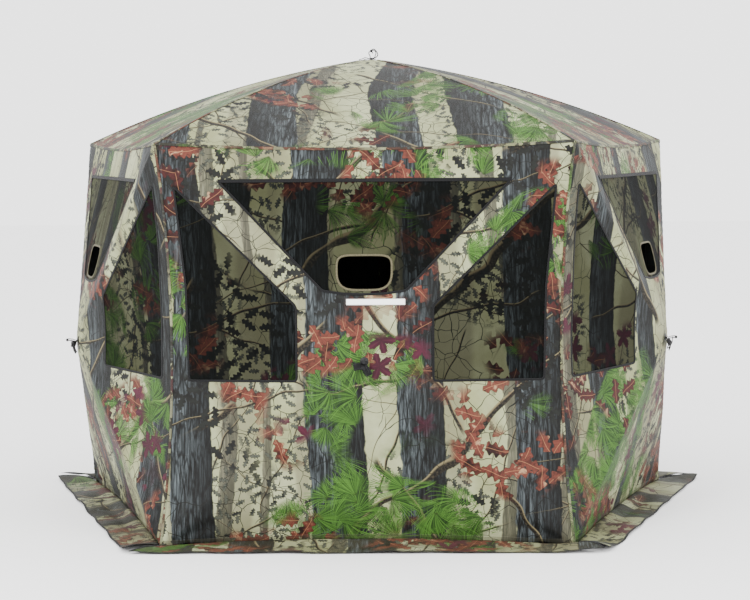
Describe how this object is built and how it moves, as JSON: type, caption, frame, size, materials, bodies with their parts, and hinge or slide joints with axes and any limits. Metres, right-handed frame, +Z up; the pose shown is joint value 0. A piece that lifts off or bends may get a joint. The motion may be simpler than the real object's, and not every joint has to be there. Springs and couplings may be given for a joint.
{
  "type": "pop up ground blind",
  "caption": "Five-sided pop-up ground blind with pop-out wall and roof hubs, camouflage fabric, mesh windows with view ports and a zipped rear door.",
  "frame": {"origin": "on the ground at the centre of the bounding box", "axes": "+Z up, wall 1 faces -Y, +X to the right as seen facing wall 1"},
  "size_m": [2.954, 2.8844, 1.959],
  "materials": {
    "camo_fabric": "satin",
    "skirt_fabric": "satin",
    "window_mesh": "matte",
    "label_fabric": "matte",
    "zip_tape": "matte",
    "webbing": "matte",
    "fibreglass": "gloss",
    "moulded_plastic": "matte",
    "steel_pin": "satin",
    "plated_metal": "satin"
  },
  "bodies": {
    "shell": {"roof_cover": "camo_fabric", "wall_1": "camo_fabric", "wall_2": "camo_fabric", "wall_3": "camo_fabric", "wall_4": "camo_fabric", "wall_5": "camo_fabric", "centre_window_meshes": "window_mesh", "side_window_meshes": "window_mesh", "ground_skirt": "skirt_fabric", "top_corner_blocks": "moulded_plastic", "bottom_corner_blocks": "moulded_plastic", "stake_eyelets": "plated_metal", "blank_label": "label_fabric"},
    "roof_hub": {"roof_hub": "moulded_plastic", "roof_hub_pins": "steel_pin", "roof_pull_loop": "webbing"},
    "roof_pole_1": {"roof_pole_1": "fibreglass"},
    "roof_pole_2": {"roof_pole_2": "fibreglass"},
    "roof_pole_3": {"roof_pole_3": "fibreglass"},
    "roof_pole_4": {"roof_pole_4": "fibreglass"},
    "roof_pole_5": {"roof_pole_5": "fibreglass"},
    "hub_1": {"wall_hub_1": "moulded_plastic", "wall_hub_pins_1": "steel_pin", "pull_strap_1": "webbing"},
    "upper_left_pole_1": {"upper_left_pole_1": "fibreglass"},
    "upper_right_pole_1": {"upper_right_pole_1": "fibreglass"},
    "lower_left_pole_1": {"lower_left_pole_1": "fibreglass"},
    "lower_right_pole_1": {"lower_right_pole_1": "fibreglass"},
    "hub_2": {"wall_hub_2": "moulded_plastic", "wall_hub_pins_2": "steel_pin", "pull_strap_2": "webbing"},
    "upper_left_pole_2": {"upper_left_pole_2": "fibreglass"},
    "upper_right_pole_2": {"upper_right_pole_2": "fibreglass"},
    "lower_left_pole_2": {"lower_left_pole_2": "fibreglass"},
    "lower_right_pole_2": {"lower_right_pole_2": "fibreglass"},
    "hub_3": {"wall_hub_3": "moulded_plastic", "wall_hub_pins_3": "steel_pin", "pull_strap_3": "webbing"},
    "upper_left_pole_3": {"upper_left_pole_3": "fibreglass"},
    "upper_right_pole_3": {"upper_right_pole_3": "fibreglass"},
    "lower_left_pole_3": {"lower_left_pole_3": "fibreglass"},
    "lower_right_pole_3": {"lower_right_pole_3": "fibreglass"},
    "hub_4": {"wall_hub_4": "moulded_plastic", "wall_hub_pins_4": "steel_pin", "pull_strap_4": "webbing"},
    "upper_left_pole_4": {"upper_left_pole_4": "fibreglass"},
    "upper_right_pole_4": {"upper_right_pole_4": "fibreglass"},
    "lower_left_pole_4": {"lower_left_pole_4": "fibreglass"},
    "lower_right_pole_4": {"lower_right_pole_4": "fibreglass"},
    "hub_5": {"wall_hub_5": "moulded_plastic", "wall_hub_pins_5": "steel_pin", "pull_strap_5": "webbing"},
    "upper_left_pole_5": {"upper_left_pole_5": "fibreglass"},
    "upper_right_pole_5": {"upper_right_pole_5": "fibreglass"},
    "lower_left_pole_5": {"lower_left_pole_5": "fibreglass"},
    "lower_right_pole_5": {"lower_right_pole_5": "fibreglass"},
    "door_edge": {"door_hinge_strip": "zip_tape"},
    "door": {"door_panel": "camo_fabric", "door_window_mesh": "window_mesh"},
    "zip_slider": {"zip_slider": "plated_metal"}
  },
  "joints": [
    {"name": "roof_pop", "type": "slide", "parent": "shell", "child": "roof_hub", "axis": [0, 0, -1], "range_m": [0, 0.6496], "deforming": ["roof_cover"]},
    {"name": "roof_pole_1_fold", "type": "hinge", "parent": "roof_hub", "child": "roof_pole_1", "pos_m": [0.01646, -0.12872, 1.8908], "axis": [0.809, 0.5878, 0], "range_deg": [-28.74, 0]},
    {"name": "roof_pole_2_fold", "type": "hinge", "parent": "roof_hub", "child": "roof_pole_2", "pos_m": [0.02663, -0.09741, 1.8908], "axis": [-0.309, 0.9511, 0], "range_deg": [-28.74, 0]},
    {"name": "roof_pole_3_fold", "type": "hinge", "parent": "roof_hub", "child": "roof_pole_3", "pos_m": [0, -0.07806, 1.8908], "axis": [-1, 0, 0], "range_deg": [-28.74, 0]},
    {"name": "roof_pole_4_fold", "type": "hinge", "parent": "roof_hub", "child": "roof_pole_4", "pos_m": [-0.02663, -0.09741, 1.8908], "axis": [-0.309, -0.9511, 0], "range_deg": [-28.74, 0]},
    {"name": "roof_pole_5_fold", "type": "hinge", "parent": "roof_hub", "child": "roof_pole_5", "pos_m": [-0.01646, -0.12872, 1.8908], "axis": [0.809, -0.5878, 0], "range_deg": [-28.74, 0]},
    {"name": "wall_1_pop", "type": "slide", "parent": "shell", "child": "hub_1", "axis": [0, 1, 0], "range_m": [0, 0.3676], "deforming": ["wall_1", "centre_window_meshes", "side_window_meshes", "blank_label"]},
    {"name": "upper_left_pole_1_fold", "type": "hinge", "parent": "hub_1", "child": "upper_left_pole_1", "pos_m": [-0.01959, -1.38097, 0.75501], "axis": [-0.7145, 0, -0.6996], "range_deg": [-19.59, 0]},
    {"name": "upper_right_pole_1_fold", "type": "hinge", "parent": "hub_1", "child": "upper_right_pole_1", "pos_m": [0.01959, -1.38097, 0.75501], "axis": [-0.7145, 0, 0.6996], "range_deg": [-19.59, 0]},
    {"name": "lower_left_pole_1_fold", "type": "hinge", "parent": "hub_1", "child": "lower_left_pole_1", "pos_m": [-0.02062, -1.38097, 0.71606], "axis": [0.6766, 0, -0.7364], "range_deg": [-20.67, 0]},
    {"name": "lower_right_pole_1_fold", "type": "hinge", "parent": "hub_1", "child": "lower_right_pole_1", "pos_m": [0.02062, -1.38097, 0.71606], "axis": [0.6766, 0, 0.7364], "range_deg": [-20.67, 0]},
    {"name": "wall_2_pop", "type": "slide", "parent": "shell", "child": "hub_2", "axis": [-0.9511, 0.309, 0], "range_m": [0, 0.3676], "deforming": ["wall_2"]},
    {"name": "upper_left_pole_2_fold", "type": "hinge", "parent": "hub_2", "child": "upper_left_pole_2", "pos_m": [1.20645, -0.51866, 0.75501], "axis": [-0.2208, -0.6795, -0.6996], "range_deg": [-19.59, 0]},
    {"name": "upper_right_pole_2_fold", "type": "hinge", "parent": "hub_2", "child": "upper_right_pole_2", "pos_m": [1.21856, -0.4814, 0.75501], "axis": [-0.2208, -0.6795, 0.6996], "range_deg": [-19.59, 0]},
    {"name": "lower_left_pole_2_fold", "type": "hinge", "parent": "hub_2", "child": "lower_left_pole_2", "pos_m": [1.20614, -0.51964, 0.71606], "axis": [0.2091, 0.6434, -0.7364], "range_deg": [-20.67, 0]},
    {"name": "lower_right_pole_2_fold", "type": "hinge", "parent": "hub_2", "child": "lower_right_pole_2", "pos_m": [1.21888, -0.48042, 0.71606], "axis": [0.2091, 0.6434, 0.7364], "range_deg": [-20.67, 0]},
    {"name": "wall_3_pop", "type": "slide", "parent": "shell", "child": "hub_3", "axis": [-0.5878, -0.809, 0], "range_m": [0, 0.3676], "deforming": ["wall_3"]},
    {"name": "upper_left_pole_3_fold", "type": "hinge", "parent": "hub_3", "child": "upper_left_pole_3", "pos_m": [0.76522, 0.91384, 0.75501], "axis": [0.578, -0.42, -0.6996], "range_deg": [-19.59, 0]},
    {"name": "upper_right_pole_3_fold", "type": "hinge", "parent": "hub_3", "child": "upper_right_pole_3", "pos_m": [0.73352, 0.93687, 0.75501], "axis": [0.578, -0.42, 0.6996], "range_deg": [-19.59, 0]},
    {"name": "lower_left_pole_3_fold", "type": "hinge", "parent": "hub_3", "child": "lower_left_pole_3", "pos_m": [0.76605, 0.91324, 0.71606], "axis": [-0.5473, 0.3977, -0.7364], "range_deg": [-20.67, 0]},
    {"name": "lower_right_pole_3_fold", "type": "hinge", "parent": "hub_3", "child": "lower_right_pole_3", "pos_m": [0.73269, 0.93748, 0.71606], "axis": [-0.5473, 0.3977, 0.7364], "range_deg": [-20.67, 0]},
    {"name": "wall_4_pop", "type": "slide", "parent": "shell", "child": "hub_4", "axis": [0.5878, -0.809, 0], "range_m": [0, 0.3676], "deforming": ["wall_4"]},
    {"name": "upper_left_pole_4_fold", "type": "hinge", "parent": "hub_4", "child": "upper_left_pole_4", "pos_m": [-0.73352, 0.93687, 0.75501], "axis": [0.578, 0.42, -0.6996], "range_deg": [-19.59, 0]},
    {"name": "upper_right_pole_4_fold", "type": "hinge", "parent": "hub_4", "child": "upper_right_pole_4", "pos_m": [-0.76522, 0.91384, 0.75501], "axis": [0.578, 0.42, 0.6996], "range_deg": [-19.59, 0]},
    {"name": "lower_left_pole_4_fold", "type": "hinge", "parent": "hub_4", "child": "lower_left_pole_4", "pos_m": [-0.73269, 0.93748, 0.71606], "axis": [-0.5473, -0.3977, -0.7364], "range_deg": [-20.67, 0]},
    {"name": "lower_right_pole_4_fold", "type": "hinge", "parent": "hub_4", "child": "lower_right_pole_4", "pos_m": [-0.76605, 0.91324, 0.71606], "axis": [-0.5473, -0.3977, 0.7364], "range_deg": [-20.67, 0]},
    {"name": "wall_5_pop", "type": "slide", "parent": "shell", "child": "hub_5", "axis": [0.9511, 0.309, 0], "range_m": [0, 0.3676], "deforming": ["wall_5"]},
    {"name": "upper_left_pole_5_fold", "type": "hinge", "parent": "hub_5", "child": "upper_left_pole_5", "pos_m": [-1.21856, -0.4814, 0.75501], "axis": [-0.2208, 0.6795, -0.6996], "range_deg": [-19.59, 0]},
    {"name": "upper_right_pole_5_fold", "type": "hinge", "parent": "hub_5", "child": "upper_right_pole_5", "pos_m": [-1.20645, -0.51866, 0.75501], "axis": [-0.2208, 0.6795, 0.6996], "range_deg": [-19.59, 0]},
    {"name": "lower_left_pole_5_fold", "type": "hinge", "parent": "hub_5", "child": "lower_left_pole_5", "pos_m": [-1.21888, -0.48042, 0.71606], "axis": [0.2091, -0.6434, -0.7364], "range_deg": [-20.67, 0]},
    {"name": "lower_right_pole_5_fold", "type": "hinge", "parent": "hub_5", "child": "lower_right_pole_5", "pos_m": [-1.20614, -0.51964, 0.71606], "axis": [0.2091, -0.6434, 0.7364], "range_deg": [-20.67, 0]},
    {"name": "door_edge_follow", "type": "hinge", "parent": "shell", "child": "door_edge", "pos_m": [-1.29443, 0.31452, 0.735], "axis": [0, 0, 1], "range_deg": [-25.89, 0]},
    {"name": "door_open", "type": "hinge", "parent": "door_edge", "child": "door", "pos_m": [-1.29443, 0.31452, 0.735], "axis": [0, 0, 1], "range_deg": [0, 110]},
    {"name": "zip_slide", "type": "slide", "parent": "door_edge", "child": "zip_slider", "axis": [-0.4942, -0.6116, -0.6178], "range_m": [0, 0.7442]}
  ],
  "couplings": [
    {"joint": "roof_pole_1_fold", "follows": "roof_pop", "rad_per_m": -0.77202},
    {"joint": "roof_pole_2_fold", "follows": "roof_pop", "rad_per_m": -0.77202},
    {"joint": "roof_pole_3_fold", "follows": "roof_pop", "rad_per_m": -0.77202},
    {"joint": "roof_pole_4_fold", "follows": "roof_pop", "rad_per_m": -0.77202},
    {"joint": "roof_pole_5_fold", "follows": "roof_pop", "rad_per_m": -0.77202},
    {"joint": "upper_left_pole_1_fold", "follows": "wall_1_pop", "rad_per_m": -0.92942},
    {"joint": "upper_right_pole_1_fold", "follows": "wall_1_pop", "rad_per_m": -0.92942},
    {"joint": "lower_left_pole_1_fold", "follows": "wall_1_pop", "rad_per_m": -0.98092},
    {"joint": "lower_right_pole_1_fold", "follows": "wall_1_pop", "rad_per_m": -0.98092},
    {"joint": "upper_left_pole_2_fold", "follows": "wall_2_pop", "rad_per_m": -0.92942},
    {"joint": "upper_right_pole_2_fold", "follows": "wall_2_pop", "rad_per_m": -0.92942},
    {"joint": "lower_left_pole_2_fold", "follows": "wall_2_pop", "rad_per_m": -0.98092},
    {"joint": "lower_right_pole_2_fold", "follows": "wall_2_pop", "rad_per_m": -0.98092},
    {"joint": "upper_left_pole_3_fold", "follows": "wall_3_pop", "rad_per_m": -0.92942},
    {"joint": "upper_right_pole_3_fold", "follows": "wall_3_pop", "rad_per_m": -0.92942},
    {"joint": "lower_left_pole_3_fold", "follows": "wall_3_pop", "rad_per_m": -0.98092},
    {"joint": "lower_right_pole_3_fold", "follows": "wall_3_pop", "rad_per_m": -0.98092},
    {"joint": "upper_left_pole_4_fold", "follows": "wall_4_pop", "rad_per_m": -0.92942},
    {"joint": "upper_right_pole_4_fold", "follows": "wall_4_pop", "rad_per_m": -0.92942},
    {"joint": "lower_left_pole_4_fold", "follows": "wall_4_pop", "rad_per_m": -0.98092},
    {"joint": "lower_right_pole_4_fold", "follows": "wall_4_pop", "rad_per_m": -0.98092},
    {"joint": "upper_left_pole_5_fold", "follows": "wall_5_pop", "rad_per_m": -0.92942},
    {"joint": "upper_right_pole_5_fold", "follows": "wall_5_pop", "rad_per_m": -0.92942},
    {"joint": "lower_left_pole_5_fold", "follows": "wall_5_pop", "rad_per_m": -0.98092},
    {"joint": "lower_right_pole_5_fold", "follows": "wall_5_pop", "rad_per_m": -0.98092},
    {"joint": "door_edge_follow", "follows": "wall_4_pop", "rad_per_m": -1.2287}
  ]
}
